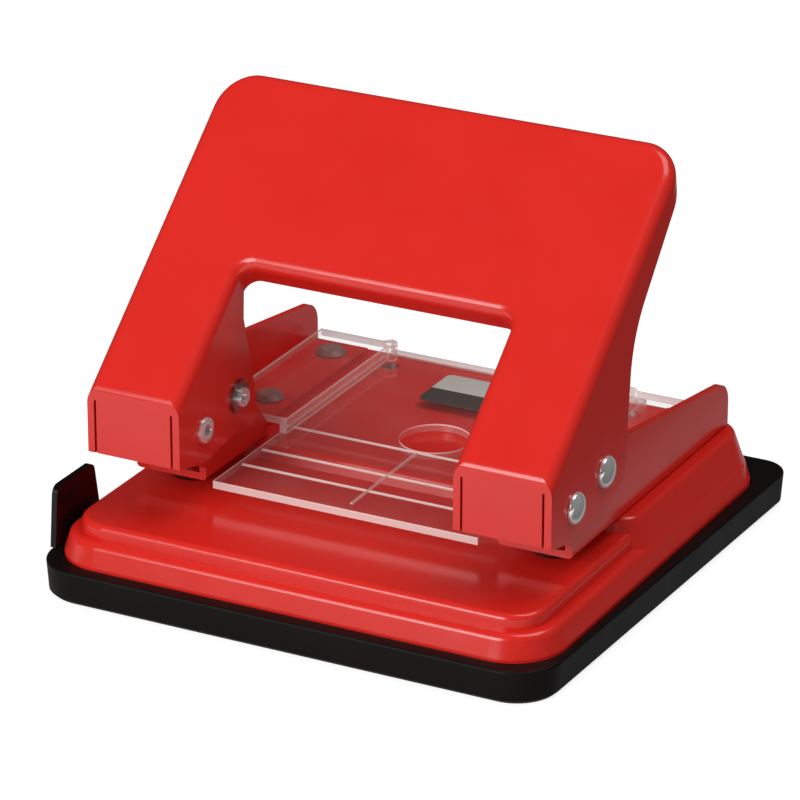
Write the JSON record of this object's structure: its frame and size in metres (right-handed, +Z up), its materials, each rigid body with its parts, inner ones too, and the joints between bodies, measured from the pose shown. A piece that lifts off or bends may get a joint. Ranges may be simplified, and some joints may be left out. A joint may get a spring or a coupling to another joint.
{
  "type": "two-hole paper punch",
  "caption": "Desk paper punch with a windowed sheet-metal lever, folded brackets, clear paper guide, sliding side gauge and pull-off chip tray.",
  "frame": {"origin": "midway between the two punches, on the plane the tray rests on", "axes": "+X along the two punches to the right, +Y away from the paper side, +Z up"},
  "size_m": [0.1152, 0.1141, 0.0878],
  "materials": {
    "red_paint": "gloss",
    "bare_steel": "satin",
    "chrome": "polished",
    "black_plastic": "satin",
    "gloss_black": "gloss",
    "clear_plastic": "clear",
    "label": "satin"
  },
  "bodies": {
    "tray": {"chip_tray": "black_plastic"},
    "base": {"base_plate": "red_paint", "bracket_rivets": "chrome", "clear_guide": "clear_plastic", "guide_label": "label", "gauge_strap": "bare_steel", "left_bracket": "red_paint", "left_pivot_sleeve": "bare_steel", "left_spring": "bare_steel", "left_die": "bare_steel", "right_bracket": "red_paint", "right_pivot_sleeve": "bare_steel", "right_spring": "bare_steel", "right_die": "bare_steel"},
    "lever": {"lever": "red_paint", "left_pivot_rivet": "chrome", "left_drive_pin": "chrome", "left_drive_clip": "bare_steel", "right_pivot_rivet": "chrome", "right_drive_pin": "chrome", "right_drive_clip": "bare_steel"},
    "left_punch": {"left_punch": "bare_steel"},
    "right_punch": {"right_punch": "bare_steel"},
    "gauge": {"side_gauge": "gloss_black"}
  },
  "joints": [
    {"name": "tray_release", "type": "slide", "parent": "tray", "child": "base", "axis": [0, 0, 1], "range_m": [0, 0.015]},
    {"name": "lever_press", "type": "hinge", "parent": "base", "child": "lever", "pos_m": [0, -0.0131, 0.031], "axis": [-1, 0, 0], "range_deg": [0, 29.8], "stiffness_Nm_per_rad": 0.25, "springref_deg": -28.65},
    {"name": "gauge_slide", "type": "slide", "parent": "base", "child": "gauge", "axis": [-1, 0, 0], "range_m": [0, 0.0935]},
    {"name": "left_punch_stroke", "type": "slide", "parent": "base", "child": "left_punch", "axis": [0, 0, -1], "range_m": [0, 0.00692], "deforming": ["left_spring"]},
    {"name": "right_punch_stroke", "type": "slide", "parent": "base", "child": "right_punch", "axis": [0, 0, -1], "range_m": [0, 0.00692], "deforming": ["right_spring"]}
  ],
  "couplings": [
    {"joint": "left_punch_stroke", "follows": "lever_press", "m_per_rad": 0.013296},
    {"joint": "right_punch_stroke", "follows": "lever_press", "m_per_rad": 0.013296}
  ]
}
